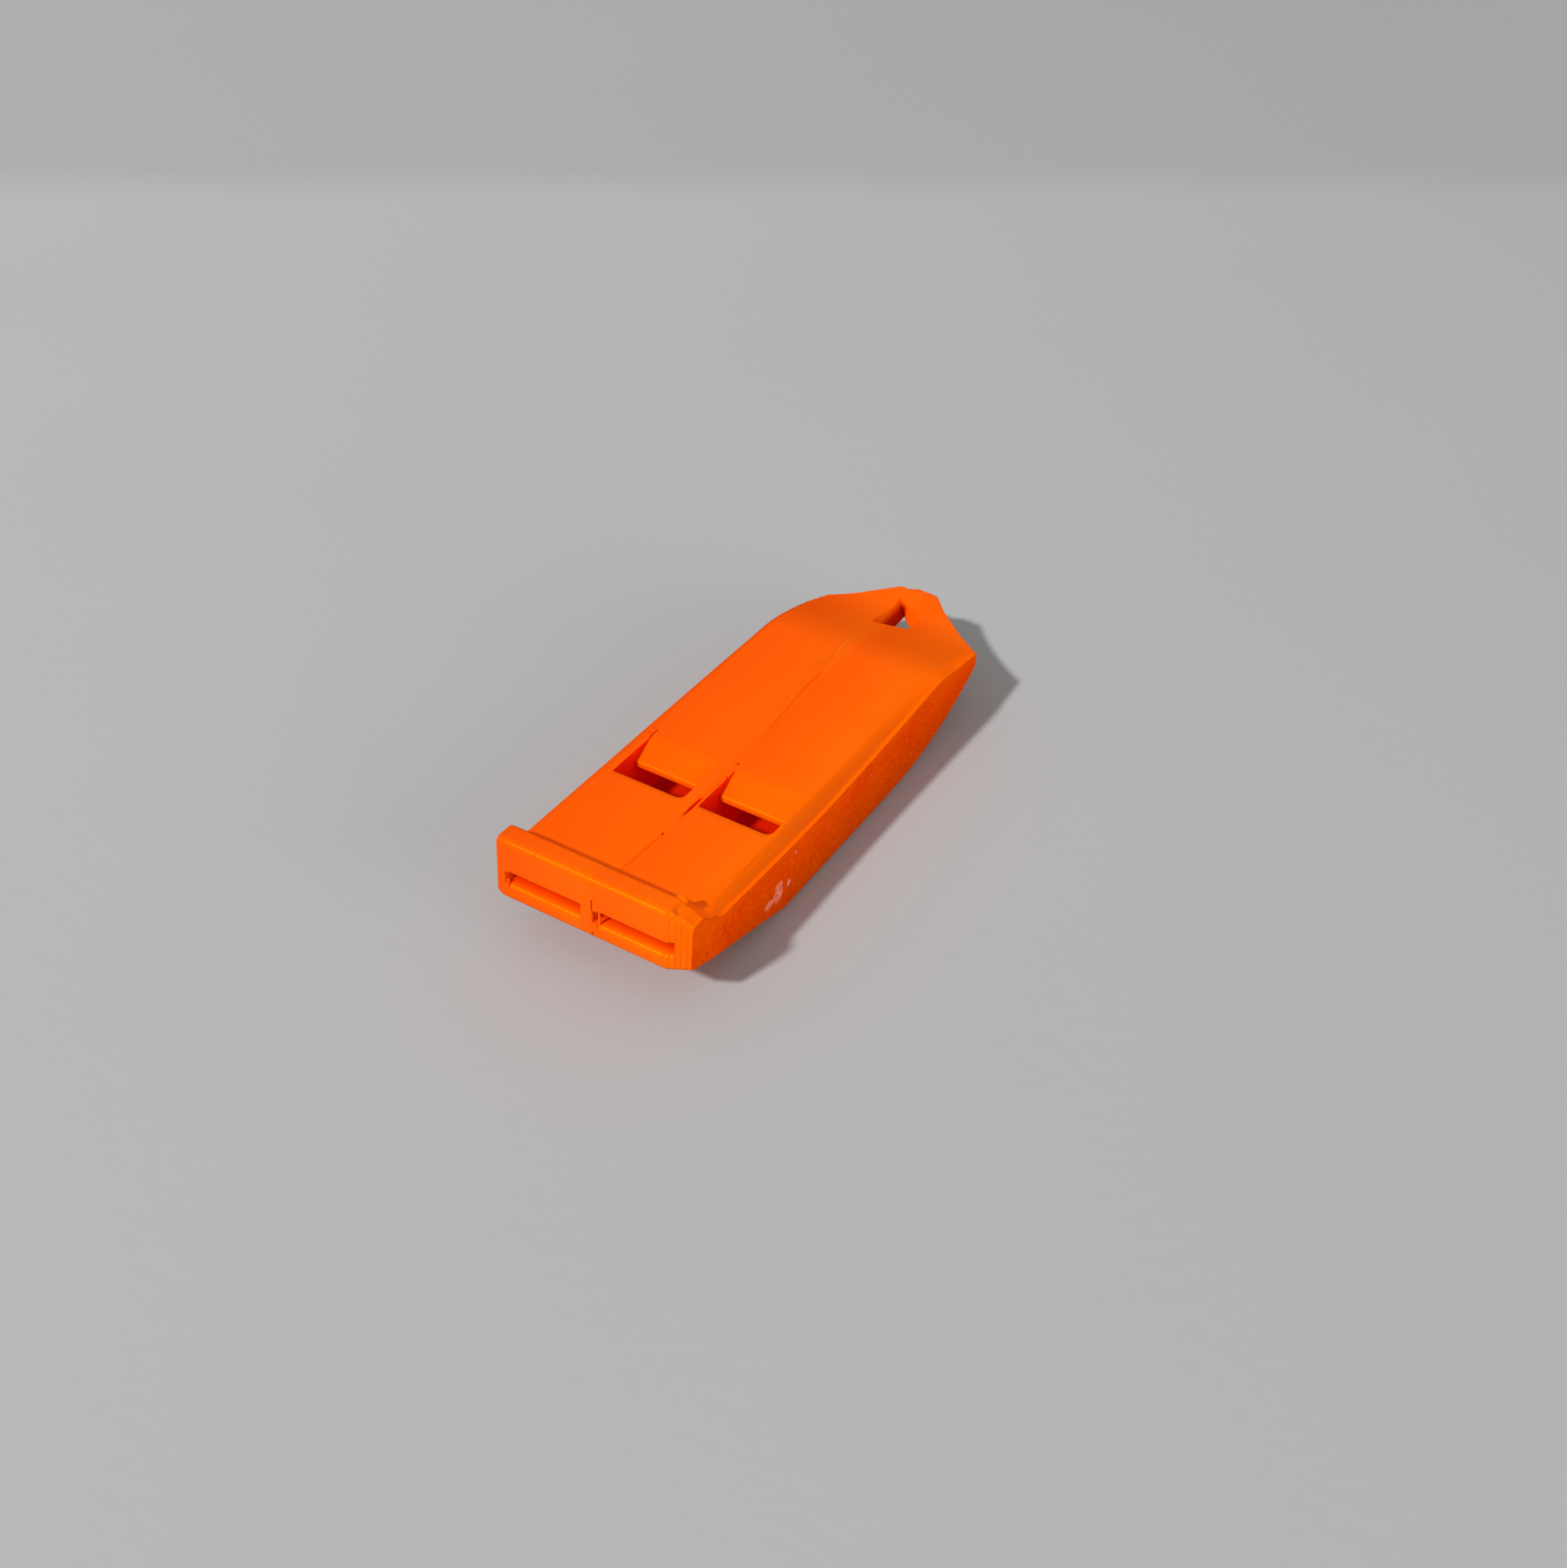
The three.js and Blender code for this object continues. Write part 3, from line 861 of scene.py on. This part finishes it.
# Orange of the print; its deep and bright tones also carry the painted shade across the deck
ORANGE_DEEP = (0.97, 0.098, 0.0002)
ORANGE_BRIGHT = (1.0, 0.135, 0.0002)
ORANGE_SHEEN = (1.0, 0.45, 0.0, 1)
# Painted shade: the dark reds of the windways, chambers, creases and pits
PAINTED_SHADE_RED = (0.78, 0.012, 0.0002)
PAINTED_SHADE_STREAK = (0.78, 0.021, 0.0002)
# Painted shade low on the cord hole's left wall
HOLE_PAINTED_SHADE = (0.5, 0.012, 0.0002)
# Painted highlight along the rear crease
SEAM_PAINTED_HIGHLIGHT = (1.0, 0.21, 0.003)
# Painted glow: emission that lights the shaded chambers red and the shade behind the lip orange
PAINTED_GLOW_RED = (1.0, 0.004, 0.0)
PAINTED_GLOW_ORANGE = (1.0, 0.06, 0.0)
PAINTED_GLOW_STRENGTH, CHAMBER_SHARE = 0.2, 0.5
BLACK = (0.0, 0.0, 0.0)

# Tones of the bed face; the foot's tone is painted shade and the top's is painted light
BED_FRONT = (1.0, 0.09, 0.0002)
BED_REAR = (0.94, 0.068, 0.0002)
BED_MOTTLE = (0.82, 0.04, 0.0002)
BED_LIGHT_PATCH = (1.0, 0.11, 0.0002)
BED_DARK_PATCH = (0.84, 0.05, 0.0002)
BED_PAINTED_SHADE_FOOT = (0.5, 0.044, 0.0002)
BED_PAINTED_LIGHT_TOP = (1.0, 0.115, 0.0002)
BED_SPECK = (1.0, 0.15, 0.0002)
SCUFF_PALE = (1.0, 0.33, 0.22)

# Scuffs on the bed face: middle y and z, and half their length and height
SCUFFS = [(13.65, 2.75, 0.85, 0.95), (13.7, 3.6, 0.7, 0.45), (15.3, 2.8, 0.35, 0.4), (12.3, 2.6, 0.8, 0.45),
          (16.15, 5.33, 0.25, 0.2), (28.5, 5.1, 0.2, 0.15)]

PLASTIC_IOR = 1.47
PRINT_ROUGHNESS, CHAMBER_ROUGHNESS, BED_ROUGHNESS = 0.34, 0.45, 0.55
EDGE_SHEEN, PRINT_SHEEN, WALL_SHEEN = 0.55, 0.15, 0.04

# Painted light and shade on the floor: lighter to the left, darker to the right
FLOOR_PAINTED_LIGHT = (0.494, 0.494, 0.494)
FLOOR_PAINTED_SHADE = (0.402, 0.402, 0.402)
FLOOR_SHADE = (0.3, 0.3, 0.3)


class Nodes:
    """A material's node tree, written from left to right. Places are in millimetres, y from the mouth."""

    def __init__(self, name):
        self.material = bpy.data.materials.new(name)
        self.material.use_nodes = True
        self.tree = self.material.node_tree
        self.shader = self.tree.nodes["Principled BSDF"]
        self.where = self.add("ShaderNodeTexCoord").outputs["Object"]
        millimetres = self.add("ShaderNodeMapping", Scale=(1000, 1000, 1000), Location=(0, LENGTH / 2, 0))
        self.link(self.where, millimetres.inputs["Vector"])
        split = self.add("ShaderNodeSeparateXYZ")
        self.link(millimetres.outputs["Vector"], split.inputs["Vector"])
        self.x, self.y, self.z = (split.outputs[axis] for axis in "XYZ")

    def add(self, kind, **settings):
        node = self.tree.nodes.new(kind)
        for key, value in settings.items():
            if key in node.inputs:
                node.inputs[key].default_value = value
            else:
                setattr(node, key, value)
        return node

    def link(self, source, target):
        self.tree.links.new(source, target)

    def shine(self, **values):
        """Values that are the same all over, set on the shader itself."""
        for name, value in values.items():
            self.shader.inputs[name.replace("_", " ")].default_value = value

    def noise(self, cells, detail=2.0, roughness=0.5):
        """Noise with the given number of cells in a metre along each axis."""
        sized = self.add("ShaderNodeMapping", Scale=cells)
        self.link(self.where, sized.inputs["Vector"])
        grain = self.add("ShaderNodeTexNoise", Scale=1.0, Detail=detail, Roughness=roughness)
        self.link(sized.outputs["Vector"], grain.inputs["Vector"])
        return grain.outputs["Fac"]

    def tooth(self, height, strength, distance):
        """A fine unevenness of the surface."""
        bump = self.add("ShaderNodeBump", Strength=strength, Distance=distance)
        self.link(height, bump.inputs["Height"])
        self.link(bump.outputs["Normal"], self.shader.inputs["Normal"])

    def span(self, value, low, high, out_low=0.0, out_high=1.0):
        spread = self.add("ShaderNodeMapRange")
        spread.inputs["From Min"].default_value = low
        spread.inputs["From Max"].default_value = high
        spread.inputs["To Min"].default_value = out_low
        spread.inputs["To Max"].default_value = out_high
        self.link(value, spread.inputs["Value"])
        return spread.outputs["Result"]

    def below(self, value, low, high):
        """1 below low, 0 above high."""
        return self.span(value, low, high, 1.0, 0.0)

    def band(self, value, rise, fall):
        """1 between two places, each given as where its soft edge starts and ends."""
        return self.every(self.span(value, *rise), self.below(value, *fall))

    def math(self, operation, a, b=None):
        sum_node = self.add("ShaderNodeMath", operation=operation)
        for socket, value in zip(sum_node.inputs, (a, b)):
            if isinstance(value, (int, float)):
                socket.default_value = value
            elif value is not None:
                self.link(value, socket)
        return sum_node.outputs[0]

    def every(self, *factors):
        result = factors[0]
        for factor in factors[1:]:
            result = self.math("MULTIPLY", result, factor)
        return result

    def either(self, a, b):
        return self.math("MAXIMUM", a, b)

    def away(self, value, place):
        """Distance from a place."""
        return self.math("ABSOLUTE", self.math("SUBTRACT", value, place))

    def tint(self, factor, a, b):
        blend = self.add("ShaderNodeMix", data_type="RGBA")
        self.link(factor, blend.inputs[0])
        for socket, colour in ((blend.inputs[6], a), (blend.inputs[7], b)):
            if isinstance(colour, tuple):
                socket.default_value = (*colour, 1)
            else:
                self.link(colour, socket)
        return blend.outputs[2]

    def glow(self, mask):
        """Painted glow: red emission in the shaded chambers and orange emission in the shade behind the lip, in place
        of light that seeps through the thin walls.
        """
        deep = self.every(mask, self.span(self.y, 2.5, 6.0, 0.0, CHAMBER_SHARE))
        lip_back = self.every(self.band(self.y, (2.0, 2.4), (3.9, 4.9)), self.span(self.z, 7.05, 7.15),
                              self.below(self.x, 8.3, 8.4))
        painted_glow_colour = self.tint(lip_back, self.tint(deep, BLACK, PAINTED_GLOW_RED), PAINTED_GLOW_ORANGE)
        self.link(painted_glow_colour, self.shader.inputs["Emission Color"])
        self.shine(Emission_Strength=PAINTED_GLOW_STRENGTH)

    def inside(self):
        """1 where shade and glow are painted: on the walls of the windways and the chambers and in the pits, 0 on the
        rest of the outside.
        """
        on_face = (0.003, 0.012)
        off = self.math("ABSOLUTE", self.x)
        wall = self.below(self.away(off, BAY_OUTER), *on_face)
        middle = self.below(self.away(off, DIVIDER_HALF), *on_face)
        faces = self.every(self.either(wall, middle), self.below(self.z, DECK - 0.1, DECK - 0.05))
        windway = self.band(self.z, (WINDWAY_FLOOR - 0.08, WINDWAY_FLOOR - 0.02),
                            (WINDWAY_ROOF - 0.06, WINDWAY_ROOF - 0.03))
        nose = self.band(self.y, (16.4, 16.45), (17.8, 17.85))
        bays = self.every(self.below(off, BAY_OUTER, BAY_OUTER + 0.02), windway, self.math("SUBTRACT", 1.0, nose))
        lengths = self.band(self.y, (0.4, 1.5), (DECK_END - 0.1, DECK_END - 0.02))
        return self.either(self.every(self.either(faces, bays), lengths), self.pits())

    def pits(self):
        """1 in the creases and pits that are sunk into the middle and the left edge, where shade is painted into them.
        """
        last = (20.8, 20.9)
        middle = self.every(self.below(self.math("ABSOLUTE", self.x), DIVIDER_HALF - 0.05, DIVIDER_HALF - 0.01),
                            self.band(self.y, (8.9, 9.0), last))
        left = self.every(self.band(self.x, (-7.97, -7.95), (-7.37, -7.36)), self.band(self.y, (18.5, 18.6), last))
        sunk = self.band(self.z, (7.3, 7.35), (7.84, 7.93))
        return self.every(self.either(left, middle), sunk)

    def seam_painted_highlight(self):
        """Share of a painted highlight: a paler line along the rear crease, where it runs down the ramp."""
        path = self.span(self.y, 38.6, 44.3, -0.75, -1.31)
        line = self.below(self.away(self.x, path), 0.05, 0.22)
        return self.every(line, self.span(self.y, 37.4, 39.0), self.span(self.y, 46.2, 47.6, 0.6, 0.0),
                          self.span(self.z, 5.7, 5.8))

    def hole_wall_shade(self):
        """1 low on the left wall of the cord hole, where shade is painted."""
        return self.every(self.band(self.x, (-2.2, -2.0), (-0.9, -0.5)), self.band(self.y, (46.8, 47.0), (53.0, 53.2)),
                          self.band(self.z, (4.3, 4.4), (5.3, 5.95)))

    def lip_edges(self):
        """1 on the front edges of the lips and on the labium's nose, where the beads lie open to the light."""
        lower = self.band(self.z, (5.1, 5.3), (5.9, 6.0))
        lips = self.every(self.either(self.span(self.z, 8.2, 8.6), lower), self.below(self.y, 0.8, 1.3))
        nose = self.every(self.band(self.y, (16.85, 16.9), (17.4, 17.5)), self.span(self.z, 6.7, 6.75))
        return self.either(lips, nose)

    def scuffed(self):
        """1 in the middle of the scuffs on the bed face."""
        result = self.spot(*SCUFFS[0])
        for patch in SCUFFS[1:]:
            result = self.either(result, self.spot(*patch))
        return result

    def spot(self, y, z, half_length, half_height):
        """A soft round patch on a side face, 1 in its middle."""
        across = self.math("DIVIDE", self.math("SUBTRACT", self.y, y), half_length)
        height = self.math("DIVIDE", self.math("SUBTRACT", self.z, z), half_height)
        off = self.math("ADD", self.math("MULTIPLY", across, across), self.math("MULTIPLY", height, height))
        return self.below(off, 0.3, 1.0)


def layered_tone(n):
    """Plastic laid in beads: streaks along each bead, painted shade that darkens each half of the print towards its
    left, and a random cloudy tone.
    """
    streaks = n.noise((2600, 60, 300), detail=3.0)
    clouds = n.noise((170, 90, 170), detail=2.0)
    # Painted shade: each half of the print darker towards its left
    left = n.span(n.x, -7.0, -1.5, 0.0, 0.6)
    right = n.span(n.x, 1.5, 6.5, 0.26, 0.96)
    side = n.span(n.x, -0.1, 0.3)
    painted_shade_drift = n.math("ADD", left, n.math("MULTIPLY", side, n.math("SUBTRACT", right, left)))
    painted_shade_drift = n.math("ADD", painted_shade_drift, n.span(clouds, 0.3, 0.7, -0.12, 0.12))
    tone = n.tint(painted_shade_drift, ORANGE_DEEP, ORANGE_BRIGHT)
    return n.tint(n.span(streaks, 0.35, 0.7, 0.0, 0.2), tone, ORANGE_DEEP)


def print_tooth(n):
    n.tooth(n.noise((9000, 3000, 9000)), 0.2, 0.00002)


def printed_plastic():
    n = Nodes("printed_orange")
    # Painted shade in the windways, chambers, creases and pits
    inside = n.inside()
    # Painted highlight along the rear crease
    tone = n.tint(n.seam_painted_highlight(), layered_tone(n), SEAM_PAINTED_HIGHLIGHT)
    # Painted shade low on the cord hole's left wall
    tone = n.tint(n.hole_wall_shade(), tone, HOLE_PAINTED_SHADE)
    n.link(n.tint(inside, tone, PAINTED_SHADE_RED), n.shader.inputs["Base Color"])
    n.link(n.span(n.lip_edges(), 0.0, 1.0, PRINT_SHEEN, EDGE_SHEEN), n.shader.inputs["Specular IOR Level"])
    n.shine(Roughness=PRINT_ROUGHNESS, IOR=PLASTIC_IOR, Specular_Tint=ORANGE_SHEEN)
    n.glow(inside)
    print_tooth(n)
    return n.material


def chamber_plastic():
    n = Nodes("chamber_painted_shade")
    # Painted shade: the chambers' floors and stops are dark red, streaked along their beads
    streaks = n.noise((2600, 90, 400), detail=3.0)
    n.link(n.tint(n.span(streaks, 0.35, 0.7), PAINTED_SHADE_STREAK, PAINTED_SHADE_RED), n.shader.inputs["Base Color"])
    n.shine(Roughness=CHAMBER_ROUGHNESS, IOR=PLASTIC_IOR, Specular_Tint=ORANGE_SHEEN)
    n.glow(n.inside())
    print_tooth(n)
    return n.material


def bed_plastic():
    """Plastic that lay on the print bed: matte, mottled and scuffed on its outer face, darker towards its foot by
    painted shade and lighter near its top by painted light, layered on its edges.
    """
    n = Nodes("bed_orange")
    outer = n.span(n.x, HALF_WIDTH - 0.03, HALF_WIDTH - 0.01)
    mottle = n.noise((1900, 1900, 1900), detail=4.0, roughness=0.8)
    specks = n.noise((4200, 4200, 4200), detail=2.0)
    patches = n.noise((220, 160, 260), detail=3.0)
    face = n.tint(n.span(n.y, 4.0, 44.0), BED_FRONT, BED_REAR)
    face = n.tint(n.span(mottle, 0.38, 0.62), face, BED_MOTTLE)
    face = n.tint(n.span(patches, 0.4, 0.7, 0.0, 0.4), face, BED_LIGHT_PATCH)
    face = n.tint(n.span(patches, 0.32, 0.5, 0.5, 0.0), face, BED_DARK_PATCH)
    # Painted shade towards the foot, and painted light near the top
    face = n.tint(n.span(n.z, 0.5, 5.5, 0.7, 0.0), face, BED_PAINTED_SHADE_FOOT)
    face = n.tint(n.span(n.z, 5.6, 7.2, 0.0, 0.5), face, BED_PAINTED_LIGHT_TOP)
    face = n.tint(n.span(specks, 0.54, 0.72, 0.0, 0.5), face, BED_SPECK)
    # Painted shade on the inner faces of the windways and chambers and in the pits
    inside = n.inside()
    edge = n.tint(inside, layered_tone(n), PAINTED_SHADE_RED)
    scratches = n.span(n.noise((2400, 3000, 3000), detail=4.0, roughness=0.75), 0.38, 0.55)
    scuff = n.every(n.scuffed(), scratches, outer, 0.8)
    n.link(n.tint(scuff, n.tint(outer, edge, face), SCUFF_PALE), n.shader.inputs["Base Color"])
    n.link(n.span(outer, 0.0, 1.0, PRINT_ROUGHNESS, BED_ROUGHNESS), n.shader.inputs["Roughness"])
    sheen = n.every(n.span(n.lip_edges(), 0.0, 1.0, WALL_SHEEN, EDGE_SHEEN), n.below(outer, 0.0, 1.0))
    n.link(sheen, n.shader.inputs["Specular IOR Level"])
    n.shine(IOR=PLASTIC_IOR, Specular_Tint=ORANGE_SHEEN)
    n.glow(inside)
    n.tooth(mottle, 0.3, 0.00003)
    return n.material


def floor_paper():
    n = Nodes("pale_floor")
    clouds = n.noise((14, 14, 14), detail=3.0)
    across = n.math("ADD", n.math("MULTIPLY", n.x, 0.81), n.math("MULTIPLY", n.y, 0.59))
    # Painted light and shade: the floor grows darker towards the right and the back
    tone = n.tint(n.span(across, -150, 150), FLOOR_PAINTED_LIGHT, FLOOR_PAINTED_SHADE)
    tone = n.tint(n.span(clouds, 0.3, 0.7, 0.0, 0.06), tone, FLOOR_SHADE)
    beyond = n.math("SUBTRACT", n.y, n.math("MULTIPLY", n.x, 0.81))
    tone = n.tint(n.span(beyond, 200, 215, 0.0, 0.33), tone, FLOOR_SHADE)
    n.link(tone, n.shader.inputs["Base Color"])
    n.shine(Roughness=0.8)
    n.tooth(n.noise((700, 700, 700), detail=3.0), 0.2, 0.0001)
    return n.material


printed = printed_plastic()
bed = bed_plastic()
chamber = chamber_plastic()

layer = outline_layer()
finish_piece(left_wall(layer), "left_side_wall", printed)
finish_piece(right_wall(layer), "right_side_wall", bed)
finish_piece(divider(layer), "centre_divider", printed)
finish_piece(tail(layer), "tail_tab", printed)
for side, start, stop, seed in (("left", -BAY_OUTER, LEFT_STOP, 20), ("right", DIVIDER_HALF, RIGHT_STOP, 30)):
    end = DECK_END - stop
    finish_piece(windway_roof(layer, side + "_roof_layers", start, seed),
                 side + "_windway_roof", printed)
    finish_piece(windway_block(layer, side + "_block_layers", start, seed + 1),
                 side + "_windway_block", printed)
    finish_piece(labium_deck(side + "_deck_layers", start, seed + 2),
                 side + "_labium_deck", printed)
    finish_piece(chamber_floor(layer, side + "_floor_layers", start, end, seed + 3),
                 side + "_chamber_floor", chamber)
    finish_piece(chamber_stop(layer, side + "_stop_layers", start, end, seed + 4),
                 side + "_chamber_stop", chamber)
bpy.data.objects.remove(layer)

# Floor, light and camera; lamps as the direction they shine from, their strength and their softness in degrees
FLOOR_SIZE, FLOOR_MIDDLE = 1.6, (0, 0.3, 0)
SKY_LOW, SKY_HIGH = 0.2, 0.47
KEY_LIGHT = ((-0.31, -1.12, 1.0), 2.85, 4)
SIDE_LIGHT = ((1.0, -0.15, 0.2), 1.32, 40)

# The photograph's view: angles in degrees, distance and offsets in millimetres
VIEW_AZIMUTH, VIEW_ELEVATION, VIEW_ROLL = 28.0317, 37.8408, 4.0558
VIEW_TARGET = Vector((0, 20 - LENGTH / 2, 4 + MOUTH_BOTTOM))
VIEW_DISTANCE, VIEW_RIGHT, VIEW_UP = 157.1257, 4.196, -1.9862
FOCAL_PIXELS, FRAME_PIXELS, SENSOR = 2400, 1932, 36


def soft_sky():
    """A white sky that is brighter overhead. The plastic mirrors only the lamps, so it doesn't see the sky."""
    world = bpy.data.worlds.new("studio")
    bpy.context.scene.world = world
    world.cycles_visibility.glossy = False
    world.use_nodes = True
    sky = world.node_tree
    around = sky.nodes.new("ShaderNodeTexCoord")
    axes = sky.nodes.new("ShaderNodeSeparateXYZ")
    overhead = sky.nodes.new("ShaderNodeMapRange")
    overhead.inputs["To Min"].default_value = SKY_LOW
    overhead.inputs["To Max"].default_value = SKY_HIGH
    sky.links.new(around.outputs["Generated"], axes.inputs["Vector"])
    sky.links.new(axes.outputs["Z"], overhead.inputs["Value"])
    sky.links.new(overhead.outputs["Result"], sky.nodes["Background"].inputs["Strength"])
    sky.nodes["Background"].inputs["Color"].default_value = (1, 1, 1, 1)


def sun(name, towards, strength, softness):
    bpy.ops.object.light_add(type="SUN", location=towards)
    lamp = bpy.context.object
    lamp.name = name
    lamp.rotation_euler = Vector(towards).to_track_quat("Z", "Y").to_euler()
    lamp.data.energy = strength
    lamp.data.angle = math.radians(softness)


def photo_camera():
    a, e, r = (math.radians(x) for x in (VIEW_AZIMUTH, VIEW_ELEVATION, VIEW_ROLL))
    back = Vector((math.sin(a) * math.cos(e), -math.cos(a) * math.cos(e), math.sin(e)))
    level = Vector((math.cos(a), math.sin(a), 0))
    upright = back.cross(level)
    right = math.cos(r) * level + math.sin(r) * upright
    up = back.cross(right)
    bpy.ops.object.camera_add()
    camera = bpy.context.object
    camera.name = "photo_view"
    camera.data.sensor_width = SENSOR
    camera.data.lens = FOCAL_PIXELS * SENSOR / FRAME_PIXELS
    camera.data.clip_start = 0.001
    eye = (VIEW_TARGET + back * VIEW_DISTANCE + right * VIEW_RIGHT + up * VIEW_UP) * MM
    turn = Matrix((right, up, back)).transposed()
    camera.matrix_world = Matrix.Translation(eye) @ turn.to_4x4()
    bpy.context.scene.camera = camera


object_mode()
bpy.ops.mesh.primitive_plane_add(size=FLOOR_SIZE, location=FLOOR_MIDDLE)
bpy.ops.object.transform_apply(location=True, rotation=True, scale=True)
floor = named("floor")
floor.data.materials.append(floor_paper())
floor.visible_glossy = False

soft_sky()
sun("key_light", *KEY_LIGHT)
sun("side_light", *SIDE_LIGHT)
photo_camera()
bpy.context.scene.view_settings.view_transform = "Standard"
